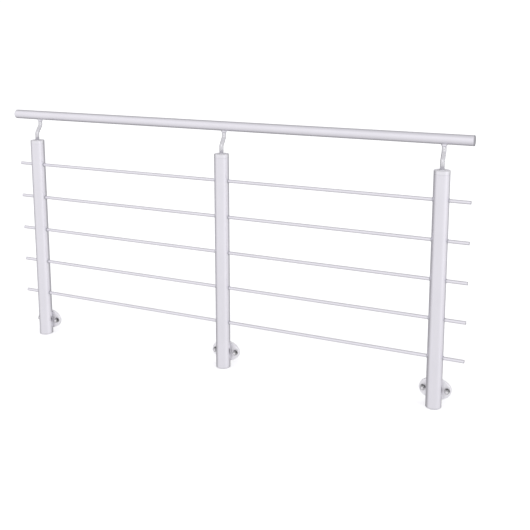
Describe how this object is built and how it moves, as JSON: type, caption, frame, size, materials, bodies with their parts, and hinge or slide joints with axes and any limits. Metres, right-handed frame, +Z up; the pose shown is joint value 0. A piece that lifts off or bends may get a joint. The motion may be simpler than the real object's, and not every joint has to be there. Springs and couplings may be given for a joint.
{
  "type": "wall-mounted balcony railing with round handrail",
  "caption": "Straight wall-mounted railing: round handrail on cranked pins above round posts, thin cross rods through the posts, and oval flanges bolted to a wall face.",
  "frame": {"origin": "centre of the middle flange's back face, on the wall's plane", "axes": "+X along the rail to the right, +Y into the wall, +Z up"},
  "size_m": [2.216, 0.0807, 1.1294],
  "materials": {
    "tube_silver": "satin silver anodised",
    "cap_satin": "satin silver, turned",
    "end_cap_grey": "satin grey",
    "bush_grey": "matte grey",
    "stainless": "plain stainless"
  },
  "bodies": {
    "root": {"handrail_tube": "tube_silver", "post_left": "tube_silver", "post_middle": "tube_silver", "post_right": "tube_silver", "handrail_pin_left": "tube_silver", "handrail_pin_middle": "tube_silver", "handrail_pin_right": "tube_silver", "cross_rod_1": "tube_silver", "cross_rod_2": "tube_silver", "cross_rod_3": "tube_silver", "cross_rod_4": "tube_silver", "cross_rod_5": "tube_silver", "wall_flange_left": "tube_silver", "wall_flange_middle": "tube_silver", "wall_flange_right": "tube_silver", "handrail_seat_left": "cap_satin", "handrail_seat_middle": "cap_satin", "handrail_seat_right": "cap_satin", "post_top_cap_left": "cap_satin", "post_top_cap_middle": "cap_satin", "post_top_cap_right": "cap_satin", "post_foot_cap_left": "cap_satin", "post_foot_cap_middle": "cap_satin", "post_foot_cap_right": "cap_satin", "handrail_cap_left": "end_cap_grey", "handrail_cap_right": "end_cap_grey", "rod_end_caps_1": "end_cap_grey", "rod_end_caps_2": "end_cap_grey", "rod_end_caps_3": "end_cap_grey", "rod_end_caps_4": "end_cap_grey", "rod_end_caps_5": "end_cap_grey", "rod_bushes_left": "bush_grey", "rod_bushes_middle": "bush_grey", "rod_bushes_right": "bush_grey", "anchor_washers_left": "stainless", "anchor_washers_middle": "stainless", "anchor_washers_right": "stainless", "anchor_nuts_left": "stainless", "anchor_nuts_middle": "stainless", "anchor_nuts_right": "stainless"}
  },
  "joints": []
}
